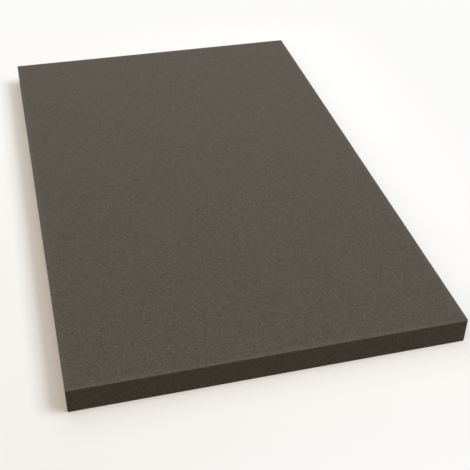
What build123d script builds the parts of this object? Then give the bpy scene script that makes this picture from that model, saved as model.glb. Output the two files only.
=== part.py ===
from build123d import *
import os

# A foam seat pad for a small bench: one plain slab of firm foam, cut to size from a sheet.
# It has no cover, seam or fastening. Both faces are flat, the four sides are upright, and
# each edge is eased by a small round, larger round the seat face than round the underside.
# Millimetres, +Z up. The origin is the middle of the underside, X runs across the pad
# and Y runs along it.

# Driving dimensions
PAD_WIDTH = 430.0  # across the pad, along X
PAD_LENGTH = 700.0  # along Y
PAD_THICKNESS = 30.0  # of the sheet that the pad is cut from
CORNER_RADIUS = 2.0  # of the four upright corners, as seen from above
SEAT_EDGE_RADIUS = 2.0  # all round the seat face
BASE_EDGE_RADIUS = 1.0  # all round the underside

# The most of a wall that one rounded edge may take up
LARGEST_SHARE = 0.45


def fitted(radius, wall):
    """The radius, held to what the wall leaves room for."""
    return min(radius, LARGEST_SHARE * wall)


def cut_slab():
    """The slab as it is cut from the sheet, with upright sides and eased corners."""
    corner_radius = fitted(CORNER_RADIUS, min(PAD_WIDTH, PAD_LENGTH))
    outline = RectangleRounded(PAD_WIDTH, PAD_LENGTH, corner_radius)
    return extrude(outline, PAD_THICKNESS)


def ease_edges(slab):
    """The slab with a round on the edge of its seat face and on that of its underside."""
    seat_face = slab.faces().sort_by(Axis.Z)[-1]
    slab = fillet(seat_face.edges(), fitted(SEAT_EDGE_RADIUS, PAD_THICKNESS))
    underside = slab.faces().sort_by(Axis.Z)[0]
    return fillet(underside.edges(), fitted(BASE_EDGE_RADIUS, PAD_THICKNESS))


foam_pad = ease_edges(cut_slab())
foam_pad.label = "foam_pad"

os.makedirs("parts", exist_ok=True)
export_step(foam_pad, "parts/foam_pad.step")
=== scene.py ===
"""A foam seat pad: one bare slab of firm foam on a pale floor, under soft studio light.

Everything is in metres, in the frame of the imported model: the origin is the middle of the
pad's underside, X runs across the pad, Y along it, and Z is up.
"""

import logging
import math
from collections.abc import Iterator
from contextlib import contextmanager
from dataclasses import dataclass
from enum import Enum

import bmesh
import bpy
from mathutils import Matrix, Vector


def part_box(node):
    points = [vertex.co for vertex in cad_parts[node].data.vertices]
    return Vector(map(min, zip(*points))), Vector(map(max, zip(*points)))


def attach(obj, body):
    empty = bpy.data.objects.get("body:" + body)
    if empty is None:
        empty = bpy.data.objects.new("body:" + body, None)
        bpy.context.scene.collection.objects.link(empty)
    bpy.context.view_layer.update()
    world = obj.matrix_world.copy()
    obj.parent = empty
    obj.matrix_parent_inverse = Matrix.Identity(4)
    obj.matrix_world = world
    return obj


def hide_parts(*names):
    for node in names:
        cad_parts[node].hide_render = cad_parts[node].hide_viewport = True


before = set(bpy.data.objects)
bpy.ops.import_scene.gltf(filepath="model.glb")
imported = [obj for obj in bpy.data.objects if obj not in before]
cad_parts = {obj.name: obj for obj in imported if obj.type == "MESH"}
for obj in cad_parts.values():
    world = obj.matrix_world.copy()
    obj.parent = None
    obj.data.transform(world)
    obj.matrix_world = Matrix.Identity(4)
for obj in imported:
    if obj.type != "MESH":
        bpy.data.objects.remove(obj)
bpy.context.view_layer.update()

MM = 0.001

# The middle of a pattern that runs from 0 to 1, and so also how far it reaches either way.
MIDDLE = 0.5

log = logging.getLogger("foam_seat_pad")

Colour = tuple[float, float, float]
Source = float | tuple[float, ...] | Vector | bpy.types.NodeSocket


class Axis(Enum):
    """The pad's own directions, as places in a coordinate."""

    ACROSS = 0
    ALONG = 1
    UP = 2

    @property
    def unit(self) -> Vector:
        """The direction as a vector of length one."""
        return Vector([1.0 if place == self.value else 0.0 for place in range(3)])


class Edge(Enum):
    """The three kinds of edge that a cut slab has."""

    SEAT = "round the seat face"
    BASE = "round the underside"
    CORNER = "up each corner"


def deselect_everything() -> None:
    """Leaves no object selected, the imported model's own among them."""
    bpy.ops.object.select_all(action="DESELECT")


def pick(piece: bpy.types.Object) -> None:
    """Leaves one piece alone selected and active, so that operators act on it.

    Args:
        piece: the object to pick.
    """
    deselect_everything()
    piece.select_set(True)
    bpy.context.view_layer.objects.active = piece


@contextmanager
def editing(piece: bpy.types.Object) -> Iterator[None]:
    """Holds one piece open in edit mode, with nothing on it selected.

    Args:
        piece: the mesh object to edit.

    Returns:
        A context that holds the piece open until its block ends.
    """
    pick(piece)
    bpy.ops.object.mode_set(mode="EDIT")
    bpy.ops.mesh.select_mode(type="EDGE")
    bpy.ops.mesh.select_all(action="DESELECT")
    yield
    bpy.ops.object.mode_set(mode="OBJECT")


def apply_modifier(piece: bpy.types.Object, kind: str, **settings: object) -> None:
    """Adds a modifier to a piece, sets it and applies it.

    Args:
        piece: the mesh object.
        kind: the modifier's type, as Blender names it.
        settings: the modifier's own settings.
    """
    modifier = piece.modifiers.new(kind.lower(), kind)
    for name, value in settings.items():
        setattr(modifier, name, value)
    pick(piece)
    bpy.ops.object.modifier_apply(modifier=modifier.name)


@dataclass(frozen=True)
class Nodes:
    """A short way to add and join the nodes of one material or world."""

    tree: bpy.types.NodeTree

    @classmethod
    def cleared(cls, owner: bpy.types.Material | bpy.types.World) -> "Nodes":
        """Empties the nodes of a new material or world.

        Args:
            owner: the material or world.

        Returns:
            Its nodes, with none in them yet.
        """
        owner.use_nodes = True
        owner.node_tree.nodes.clear()
        return cls(owner.node_tree)

    def feed(self, socket: bpy.types.NodeSocket, source: Source) -> None:
        """Joins an output to an input, or sets a value on it.

        Args:
            socket: the input.
            source: the output to join to it, or the value to set.
        """
        if isinstance(source, bpy.types.NodeSocket):
            self.tree.links.new(source, socket)
        else:
            socket.default_value = source

    def add(
        self, kind: str, sources: dict[str | int, Source] | None = None, **settings: object
    ) -> bpy.types.Node:
        """Adds a node, sets it and feeds its inputs.

        Args:
            kind: the node's type, as Blender names it.
            sources: what feeds each input, by the input's name or number.
            settings: the node's own settings.

        Returns:
            The new node.
        """
        node = self.tree.nodes.new(kind)
        for name, value in settings.items():
            setattr(node, name, value)
        for name, source in (sources or {}).items():
            self.feed(node.inputs[name], source)
        return node

    def maths(self, operation: str, *sources: Source) -> bpy.types.NodeSocket:
        """The result of a Math node, from up to three values or outputs."""
        return self.add("ShaderNodeMath", dict(enumerate(sources)), operation=operation).outputs[0]

    def vector(self, operation: str, *sources: Source) -> bpy.types.NodeSocket:
        """The vector that a Vector Math node gives, from up to three values or outputs."""
        node = self.add("ShaderNodeVectorMath", dict(enumerate(sources)), operation=operation)
        return node.outputs["Vector"]

    def measure(self, operation: str, *sources: Source) -> bpy.types.NodeSocket:
        """The number that a Vector Math node gives, such as a length or a dot product."""
        node = self.add("ShaderNodeVectorMath", dict(enumerate(sources)), operation=operation)
        return node.outputs["Value"]

    def blend(self, share: Source, low: Source, high: Source) -> bpy.types.NodeSocket:
        """Mixes two colours.

        Args:
            share: how much of the second colour there is, from 0 to 1.
            low: the first colour, or its output.
            high: the second colour, or its output.

        Returns:
            The mixed colour.
        """
        node = self.add("ShaderNodeMix", data_type="RGBA")
        sources = {"Factor": share, "A": low, "B": high}
        for socket in node.inputs:
            if socket.enabled and socket.name in sources:
                self.feed(socket, sources[socket.name])
        return next(socket for socket in node.outputs if socket.enabled)

    def seen_directly(self) -> bpy.types.NodeSocket:
        """Tells what the camera sees from what only lights the scene.

        Returns:
            One for what the camera sees by itself, in a reflection or through glass, else zero.
        """
        path = self.add("ShaderNodeLightPath").outputs
        either = self.maths("MAXIMUM", path["Is Camera Ray"], path["Is Glossy Ray"])
        return self.maths("MAXIMUM", either, path["Is Transmission Ray"])


def opaque(colour: Colour) -> tuple[float, float, float, float]:
    """A colour with an alpha of one."""
    return (*colour, 1.0)


@dataclass(frozen=True)
class FoamFinish:
    """Fine-celled, firm, dark grey foam, matt and dry, as a blade leaves it.

    Attributes:
        colour: its middle colour.
        spread: how far above and below that its lightest and darkest tones lie.
        cell: the size of one cell.
        cell_contrast: how much the cells differ, as a share of the way from darkest to lightest.
        bend: how far the cells are pushed out of line, in cells.
        bend_waves: how many waves of that bending there are to a cell.
        clump: the size of a clump of cells.
        clump_contrast: how much the clumps differ, as a share of the same.
        clump_detail: how many finer sizes the clumps are broken into.
        drift: the size of the broad changes in its tone.
        drift_contrast: how much those come to, as a share of the same.
        drift_detail: how many finer sizes they are broken into.
        rim: how far in from the seat's edges the foam is paler: a painted highlight along those
            edges.
        rim_contrast: how much paler it is there, as a share of the same.
        rim_foot: how far below the seat face that paleness ends.
        rim_head: how far below the seat face it is whole.
        pore_depth: how deep the open cells look.
        skin_height: how high the fine skin on them stands, as a share of the cells' depth.
        skin_waves: how many waves of that skin there are to a cell.
        roughness: how rough it is between the cells.
        pore_roughness: how much rougher the middle of a cell is.
        pore_fall: how much its roughness falls from there over the width of a cell.
        shine: its specular level.
        nap: how much light its torn cell walls scatter, as a sheen weight.
        nap_roughness: how widely they scatter it.
    """

    colour: Colour = (0.0896, 0.0763, 0.0628)
    spread: Colour = (0.045, 0.041, 0.037)
    cell: float = 1.5 * MM
    cell_contrast: float = 0.58
    bend: float = 0.9
    bend_waves: float = 0.6
    clump: float = 4.5 * MM
    clump_contrast: float = 0.08
    clump_detail: float = 2.0
    drift: float = 110 * MM
    drift_contrast: float = 0.06
    drift_detail: float = 3.0
    rim: float = 11 * MM
    rim_contrast: float = 0.17
    rim_foot: float = 1.5 * MM
    rim_head: float = 0.5 * MM
    pore_depth: float = 0.1 * MM
    skin_height: float = 0.35
    skin_waves: float = 2.5
    roughness: float = 0.85
    pore_roughness: float = 0.08
    pore_fall: float = 0.15
    shine: float = 0.05
    nap: float = 0.32
    nap_roughness: float = 0.42

    def build(self, name: str, low: Vector, high: Vector) -> bpy.types.Material:
        """Makes the material.

        Args:
            name: what the material is called.
            low: the lowest corner of the slab that it is for.
            high: the slab's highest corner.

        Returns:
            A material on Object coordinates, with cells in its colour, roughness and bump.
        """
        material = bpy.data.materials.new(name)
        nodes = Nodes.cleared(material)
        place = nodes.add("ShaderNodeTexCoord").outputs["Object"]
        cells = self._cells(nodes, place)
        # The seat face's rim is made paler here: a painted highlight along its edges.
        rim_highlight = nodes.maths("MULTIPLY", self._paint_rim_highlight(nodes, place, low, high), self.rim_contrast)
        tone = nodes.maths("ADD", self._tone(nodes, place, cells), rim_highlight)
        dark, light = (
            opaque(tuple(middle + way * step for middle, step in zip(self.colour, self.spread)))
            for way in (-1, 1)
        )
        surface = nodes.add(
            "ShaderNodeBsdfPrincipled",
            {
                "Base Color": nodes.blend(tone, dark, light),
                "Roughness": self._roughness(nodes, cells),
                "Normal": self._pores(nodes, place, cells),
                "Specular IOR Level": self.shine,
                "Sheen Weight": self.nap,
                "Sheen Roughness": self.nap_roughness,
            },
        )
        nodes.add("ShaderNodeOutputMaterial", {"Surface": surface.outputs["BSDF"]})
        return material

    def _cells(self, nodes: Nodes, place: bpy.types.NodeSocket) -> bpy.types.Node:
        """Fills space with the foam's cells, bent out of line so that they are uneven.

        Args:
            nodes: the material's nodes.
            place: the point that is shaded.

        Returns:
            The Voronoi node of the cells.
        """
        bending = nodes.add(
            "ShaderNodeTexNoise",
            {"Vector": place, "Scale": self.bend_waves / self.cell, "Detail": 1.0},
        )
        reach = (self.bend * self.cell,) * 3
        bent = nodes.vector("MULTIPLY_ADD", bending.outputs["Color"], reach, place)
        return nodes.add("ShaderNodeTexVoronoi", {"Vector": bent, "Scale": 1 / self.cell})

    def _tone(
        self, nodes: Nodes, place: bpy.types.NodeSocket, cells: bpy.types.Node
    ) -> bpy.types.NodeSocket:
        """Adds the unevenness of the cells, the clumps and the drift together.

        Args:
            nodes: the material's nodes.
            place: the point that is shaded.
            cells: the Voronoi node of the cells.

        Returns:
            How light the foam is at each point, where the middle is its own colour.
        """
        layers = [(self._specks(nodes, cells), self.cell_contrast)]
        for size, contrast, detail in (
            (self.clump, self.clump_contrast, self.clump_detail),
            (self.drift, self.drift_contrast, self.drift_detail),
        ):
            noise = nodes.add(
                "ShaderNodeTexNoise", {"Vector": place, "Scale": 1 / size, "Detail": detail}
            )
            layers.append((nodes.maths("SUBTRACT", noise.outputs["Fac"], MIDDLE), contrast))
        tone: Source = MIDDLE
        for layer, contrast in layers:
            tone = nodes.maths("MULTIPLY_ADD", layer, contrast, tone)
        return tone

    def _paint_rim_highlight(
        self, nodes: Nodes, place: bpy.types.NodeSocket, low: Vector, high: Vector
    ) -> bpy.types.NodeSocket:
        """Marks the rim of the seat face, where a highlight is painted into the foam's colour.

        Args:
            nodes: the material's nodes.
            place: the point that is shaded.
            low: the slab's lowest corner.
            high: the slab's highest corner.

        Returns:
            One at the edges of the seat face, which falls away to zero towards its middle.
        """
        centred = nodes.vector("SUBTRACT", place, (low + high) / 2)
        aside = nodes.vector("ABSOLUTE", centred)
        inwards = nodes.vector("SUBTRACT", (high - low) / 2, aside)
        depths = nodes.add("ShaderNodeSeparateXYZ", {0: inwards}).outputs
        nearest = nodes.maths("MINIMUM", depths["X"], depths["Y"])
        near = nodes.add(
            "ShaderNodeMapRange",
            {"Value": nearest, "From Max": self.rim, "To Min": 1.0, "To Max": 0.0},
        ).outputs["Result"]
        height = nodes.add("ShaderNodeSeparateXYZ", {0: place}).outputs["Z"]
        foot, head = high.z - self.rim_foot, high.z - self.rim_head
        upper = nodes.add(
            "ShaderNodeMapRange", {"Value": height, "From Min": foot, "From Max": head}
        ).outputs["Result"]
        # Painted highlight: whole near the seat's edges and just below the seat face, fading
        # inwards.
        return nodes.maths("MULTIPLY", upper, nodes.maths("MULTIPLY", near, near))

    def _specks(self, nodes: Nodes, cells: bpy.types.Node) -> bpy.types.NodeSocket:
        """Gives each cell a tone of its own, so that only a few cells stand out.

        Args:
            nodes: the material's nodes.
            cells: the Voronoi node of the cells.

        Returns:
            How far the cell's tone is from the middle: the cube of an even spread, which still
            reaches as far either way.
        """
        tint = nodes.add("ShaderNodeSeparateColor", {"Color": cells.outputs["Color"]}).outputs[0]
        centred = nodes.maths("SUBTRACT", tint, MIDDLE)
        square = nodes.maths("MULTIPLY", centred, centred)
        share = nodes.maths("MULTIPLY", square, 1 / MIDDLE**2)
        return nodes.maths("MULTIPLY", centred, share)

    def _roughness(self, nodes: Nodes, cells: bpy.types.Node) -> bpy.types.NodeSocket:
        """Roughness, a little higher in the middle of each open cell."""
        highest = self.roughness + self.pore_roughness
        return nodes.maths("MULTIPLY_ADD", cells.outputs["Distance"], -self.pore_fall, highest)

    def _pores(
        self, nodes: Nodes, place: bpy.types.NodeSocket, cells: bpy.types.Node
    ) -> bpy.types.NodeSocket:
        """Sinks the open cells into the surface, with the fine skin between them.

        Args:
            nodes: the material's nodes.
            place: the point that is shaded.
            cells: the Voronoi node of the cells.

        Returns:
            The bumped normal.
        """
        skin = nodes.add(
            "ShaderNodeTexNoise",
            {"Vector": place, "Scale": self.skin_waves / self.cell, "Detail": 2.0},
        ).outputs["Fac"]
        height = nodes.maths("MULTIPLY_ADD", skin, self.skin_height, cells.outputs["Distance"])
        bump = nodes.add(
            "ShaderNodeBump", {"Strength": 1.0, "Distance": self.pore_depth, "Height": height}
        )
        return bump.outputs["Normal"]


@dataclass(frozen=True)
class FloorFinish:
    """A pale matt floor that takes the pad's shadow and throws little light back up.

    Attributes:
        pale: the colour the floor is seen in.
        bounce: the colour it gives to the light it throws back on the pad.
        backdrop: the plain colour it passes into away from the pad.
        near: how far from the pad the floor starts to pass into the backdrop.
        far: how far from the pad it is the backdrop alone.
    """

    pale: Colour = (0.92, 0.92, 0.915)
    bounce: Colour = (0.06, 0.06, 0.06)
    backdrop: Colour = (0.97, 0.965, 0.95)
    near: float = 0.04
    far: float = 0.22

    def build(self, name: str, half: Vector) -> bpy.types.Material:
        """Makes the material.

        Args:
            name: what the material is called.
            half: half the pad's size, as the floor's fade is measured from the pad's sides.

        Returns:
            A diffuse floor near the pad that passes into the plain backdrop further out.
        """
        material = bpy.data.materials.new(name)
        nodes = Nodes.cleared(material)
        seen = nodes.seen_directly()
        colour = nodes.blend(seen, opaque(self.bounce), opaque(self.pale))
        lit = nodes.add("ShaderNodeBsdfDiffuse", {"Color": colour}).outputs["BSDF"]
        backdrop = {"Color": opaque(self.backdrop)}
        plain = nodes.add("ShaderNodeEmission", backdrop).outputs["Emission"]
        place = nodes.add("ShaderNodeTexCoord").outputs["Object"]
        aside = nodes.vector("ABSOLUTE", place)
        beyond = nodes.vector("SUBTRACT", aside, half)
        outside = nodes.vector("MAXIMUM", beyond, (0.0, 0.0, 0.0))
        fade = nodes.add(
            "ShaderNodeMapRange",
            {
                "Value": nodes.measure("LENGTH", outside),
                "From Min": self.near,
                "From Max": self.far,
            },
            interpolation_type="SMOOTHSTEP",
        )
        share = nodes.maths("MULTIPLY", fade.outputs["Result"], seen)
        surface = nodes.add("ShaderNodeMixShader", {0: share, 1: lit, 2: plain})
        nodes.add("ShaderNodeOutputMaterial", {"Surface": surface.outputs["Shader"]})
        return material


@dataclass
class FoamPad:
    """The slab of foam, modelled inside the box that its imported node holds.

    Attributes:
        low: the node's lowest corner.
        high: the node's highest corner.
        corner_radius: how far each upright corner is rounded.
        seat_radius: how far the edge round the seat face is rounded.
        base_radius: how far the edge round the underside is rounded.
        edge_steps: the faces across one rounded edge.
        margin: a narrow flat strip beside each rounded edge, which keeps the flats flat.
        grid_across: how the flats are divided across the pad, one division after another.
        grid_along: how they are divided along it.
        grid_up: how they are divided up its sides.
        tolerance: how near two lengths are when they count as the same.
        long_wave: the length of the broad unevenness of the cut faces.
        long_depth: how deep that cuts.
        short_wave: the length of the fine unevenness.
        short_depth: how deep that cuts.
        name: what the piece is called.
    """

    low: Vector
    high: Vector
    corner_radius: float = 2.0 * MM
    seat_radius: float = 0.6 * MM
    base_radius: float = 0.4 * MM
    edge_steps: int = 4
    margin: float = 0.6 * MM
    grid_across: tuple[int, ...] = (9, 12)
    grid_along: tuple[int, ...] = (7, 25)
    grid_up: tuple[int, ...] = (8,)
    tolerance: float = 0.006 * MM
    long_wave: float = 70 * MM
    long_depth: float = 0.16 * MM
    short_wave: float = 9 * MM
    short_depth: float = 0.05 * MM
    name: str = "seat_foam"

    def build(self) -> bpy.types.Object:
        """Models the slab.

        Returns:
            The finished mesh object, at the origin, unturned and unscaled.
        """
        piece = self._blank()
        self._round_edges(piece)
        self._divide_flats(piece)
        self._roughen(piece)
        self._smooth(piece)
        return piece

    def dress(self, piece: bpy.types.Object, finish: FoamFinish) -> None:
        """Gives the slab its finish and says what it stands for.

        Args:
            piece: the finished mesh object.
            finish: the foam's finish.
        """
        piece.data.materials.append(finish.build("dark_grey_foam", self.low, self.high))
        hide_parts("foam_pad")
        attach(piece, "root")

    def _blank(self) -> bpy.types.Object:
        """Adds the sharp-edged block that the slab is cut to.

        Returns:
            The block, as a mesh object with its size and place in its mesh.
        """
        deselect_everything()
        bpy.ops.mesh.primitive_cube_add(size=1.0, location=(self.low + self.high) / 2)
        piece = bpy.context.active_object
        piece.name = piece.data.name = self.name
        piece.scale = self.high - self.low
        bpy.ops.object.transform_apply(location=True, rotation=True, scale=True)
        return piece

    def _kind_of(self, first: Vector, second: Vector) -> Edge:
        """Tells the block's three kinds of edge apart.

        Args:
            first: one end of an edge.
            second: its other end.

        Returns:
            The edge's kind.
        """
        middle = (self.low.z + self.high.z) / 2
        if abs(first.z - second.z) > self.margin:
            return Edge.CORNER
        return Edge.SEAT if first.z > middle else Edge.BASE

    def _round_edges(self, piece: bpy.types.Object) -> None:
        """Rounds the block's upright corners, then the edges round its two faces.

        Args:
            piece: the sharp-edged block.
        """
        radii = {
            Edge.CORNER: self.corner_radius,
            Edge.SEAT: self.seat_radius,
            Edge.BASE: self.base_radius,
        }
        label = "bevel_weight_edge"
        for kind, radius in radii.items():
            mesh = piece.data
            weights = mesh.attributes.get(label) or mesh.attributes.new(label, "FLOAT", "EDGE")
            for edge in mesh.edges:
                first, second = (mesh.vertices[place].co for place in edge.vertices)
                weights.data[edge.index].value = float(self._kind_of(first, second) is kind)
            apply_modifier(
                piece, "BEVEL", width=radius, segments=self.edge_steps, limit_method="WEIGHT"
            )

    def _divide_flats(self, piece: bpy.types.Object) -> None:
        """Cuts a margin beside each rounded edge, then an even grid over the flats.

        Args:
            piece: the block with its edges rounded.
        """
        inset = max(self.corner_radius, self.seat_radius) + self.margin
        grids = {
            Axis.ACROSS: self.grid_across,
            Axis.ALONG: self.grid_along,
            Axis.UP: self.grid_up,
        }
        with editing(piece):
            for axis in Axis:
                for wall, inwards in ((self.low, 1.0), (self.high, -1.0)):
                    point = wall + axis.unit * inwards * inset
                    bpy.ops.mesh.select_all(action="SELECT")
                    bpy.ops.mesh.bisect(plane_co=point, plane_no=axis.unit)
            for axis, counts in grids.items():
                span = (self.high - self.low)[axis.value] - 2 * inset
                for count in counts:
                    self._cut_evenly(piece, axis, span, count)
                    span /= count

    def _cut_evenly(self, piece: bpy.types.Object, axis: Axis, span: float, count: int) -> None:
        """Divides every edge of one length and direction into equal parts.

        Args:
            piece: the mesh object that is open in edit mode.
            axis: the edges' direction.
            span: their length.
            count: how many parts each is cut into.
        """
        bpy.ops.mesh.select_all(action="DESELECT")
        mesh = bmesh.from_edit_mesh(piece.data)
        for edge in mesh.edges:
            first, second = (end.co for end in edge.verts)
            length = abs((second - first).dot(axis.unit))
            edge.select_set(abs(length - span) < self.tolerance)
        bmesh.update_edit_mesh(piece.data)
        bpy.ops.mesh.subdivide(number_cuts=count - 1, smoothness=0.0)

    def _roughen(self, piece: bpy.types.Object) -> None:
        """Lets the blade's unevenness into the faces, only ever inwards.

        Args:
            piece: the slab with its flats divided.
        """
        for label, length, depth in (
            ("long_wave", self.long_wave, self.long_depth),
            ("short_wave", self.short_wave, self.short_depth),
        ):
            pattern = bpy.data.textures.new(label, "CLOUDS")
            pattern.noise_scale = length
            pattern.noise_depth = 1
            apply_modifier(
                piece,
                "DISPLACE",
                texture=pattern,
                texture_coords="LOCAL",
                direction="NORMAL",
                strength=depth,
                mid_level=1.0,
            )

    def _smooth(self, piece: bpy.types.Object) -> None:
        """Shades the slab smooth, as it has no sharp edge."""
        pick(piece)
        bpy.ops.object.shade_smooth()


@dataclass(frozen=True)
class Camera:
    """The photograph's own point of view.

    Attributes:
        place: where the lens is.
        turn: its angles about X, Y and Z, in degrees.
        sensor: how wide its sensor is, in millimetres.
        lens: its focal length, in millimetres.
        shift: how far the picture lies off the lens's axis, as shares of its long side.
    """

    place: tuple[float, float, float] = (-0.2181, -0.9897, 0.7020)
    turn: tuple[float, float, float] = (53.499, -1.101, -14.789)
    sensor: float = 36.0
    lens: float = 70.6
    shift: tuple[float, float] = (-0.0166, -0.0372)

    def build(self) -> None:
        """Adds the camera and makes it the scene's own."""
        data = bpy.data.cameras.new("camera")
        data.sensor_width = self.sensor
        data.lens = self.lens
        data.shift_x, data.shift_y = self.shift
        camera = bpy.data.objects.new("camera", data)
        camera.location = self.place
        camera.rotation_euler = [math.radians(angle) for angle in self.turn]
        bpy.context.scene.collection.objects.link(camera)
        bpy.context.scene.camera = camera


@dataclass(frozen=True)
class Softbox:
    """A large soft lamp aimed at the middle of the pad's underside.

    Attributes:
        place: where its middle is.
        along: its size along the pad.
        across: its size the other way.
        power: its power in watts.
        colour: the colour of its light.
    """

    place: tuple[float, float, float]
    along: float
    across: float
    power: float
    colour: Colour

    def build(self, name: str) -> None:
        """Adds the lamp, with one pair of its sides as near along the pad as its aim lets them be.

        Args:
            name: what the lamp is called.
        """
        data = bpy.data.lights.new(name, "AREA")
        data.shape = "RECTANGLE"
        data.size, data.size_y = self.along, self.across
        data.energy = self.power
        data.color = self.colour
        lamp = bpy.data.objects.new(name, data)
        back = Vector(self.place).normalized()
        side = (Axis.ALONG.unit - back * back.y).normalized()
        turn = Matrix((side, back.cross(side), back)).transposed()
        lamp.matrix_world = Matrix.Translation(self.place) @ turn.to_4x4()
        bpy.context.scene.collection.objects.link(lamp)


# The key stands high on the right and a little in front, so the pad's shadow falls to the left.
# The other hangs above and just behind the pad, and lights its back a little more.
SOFTBOXES = {
    "key_softbox": Softbox(
        place=(2.326, -0.905, 3.325),
        along=2.518,
        across=1.886,
        power=101.0,
        colour=(0.921, 1.0, 1.069),
    ),
    "back_softbox": Softbox(
        place=(-0.029, 0.552, 1.276),
        along=1.618,
        across=1.436,
        power=8.35,
        colour=(0.91, 1.0, 1.106),
    ),
}


@dataclass(frozen=True)
class Sky:
    """The soft light of the room: one broad warm glow, high on the left and in front.

    Attributes:
        towards: the direction the glow is brightest in.
        edge: the cosine of the angle from there at which it has faded to nothing.
        glow: the colour of its light at its brightest.
        backdrop: the plain colour that the camera sees.
    """

    towards: tuple[float, float, float] = (-0.459, -0.483, 0.745)
    edge: float = 0.65
    glow: Colour = (1.793, 1.452, 1.071)
    backdrop: Colour = FloorFinish.backdrop

    def build(self) -> None:
        """Makes the world's light, with the plain backdrop where it is seen."""
        world = bpy.data.worlds.new("soft_room")
        bpy.context.scene.world = world
        nodes = Nodes.cleared(world)
        direction = nodes.add("ShaderNodeTexCoord").outputs["Generated"]
        facing = nodes.measure("DOT_PRODUCT", direction, self.towards)
        level = nodes.add("ShaderNodeMapRange", {"Value": facing, "From Min": self.edge})
        glow = {"Color": opaque(self.glow), "Strength": level.outputs["Result"]}
        light = nodes.add("ShaderNodeBackground", glow).outputs["Background"]
        backdrop = {"Color": opaque(self.backdrop)}
        plain = nodes.add("ShaderNodeBackground", backdrop).outputs["Background"]
        sources = {0: nodes.seen_directly(), 1: light, 2: plain}
        surface = nodes.add("ShaderNodeMixShader", sources)
        nodes.add("ShaderNodeOutputWorld", {"Surface": surface.outputs["Shader"]})


@dataclass(frozen=True)
class Floor:
    """The plain floor that the pad lies on.

    Attributes:
        radius: how far it reaches from the middle of the pad.
        corners: how many corners its round outline has.
    """

    radius: float = 30.0
    corners: int = 96

    def build(self, finish: FloorFinish, half: Vector) -> None:
        """Adds the floor as a flat disc.

        Args:
            finish: the floor's finish.
            half: half the pad's size.
        """
        deselect_everything()
        bpy.ops.mesh.primitive_circle_add(
            vertices=self.corners, radius=self.radius, fill_type="NGON"
        )
        floor = bpy.context.active_object
        floor.name = floor.data.name = "floor"
        floor.data.materials.append(finish.build("pale_floor", half))


def main() -> None:
    """Builds the pad, then the floor, the light and the camera round it."""
    logging.basicConfig(level=logging.INFO, format="%(message)s")
    bpy.context.scene.view_settings.view_transform = "Standard"
    low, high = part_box("foam_pad")
    pad = FoamPad(low, high)
    piece = pad.build()
    pad.dress(piece, FoamFinish())
    log.info("%s: %d faces", piece.name, len(piece.data.polygons))
    Floor().build(FloorFinish(), (high - low) / 2)
    for name, softbox in SOFTBOXES.items():
        softbox.build(name)
    Sky().build()
    Camera().build()


if __name__ == "__main__":
    main()
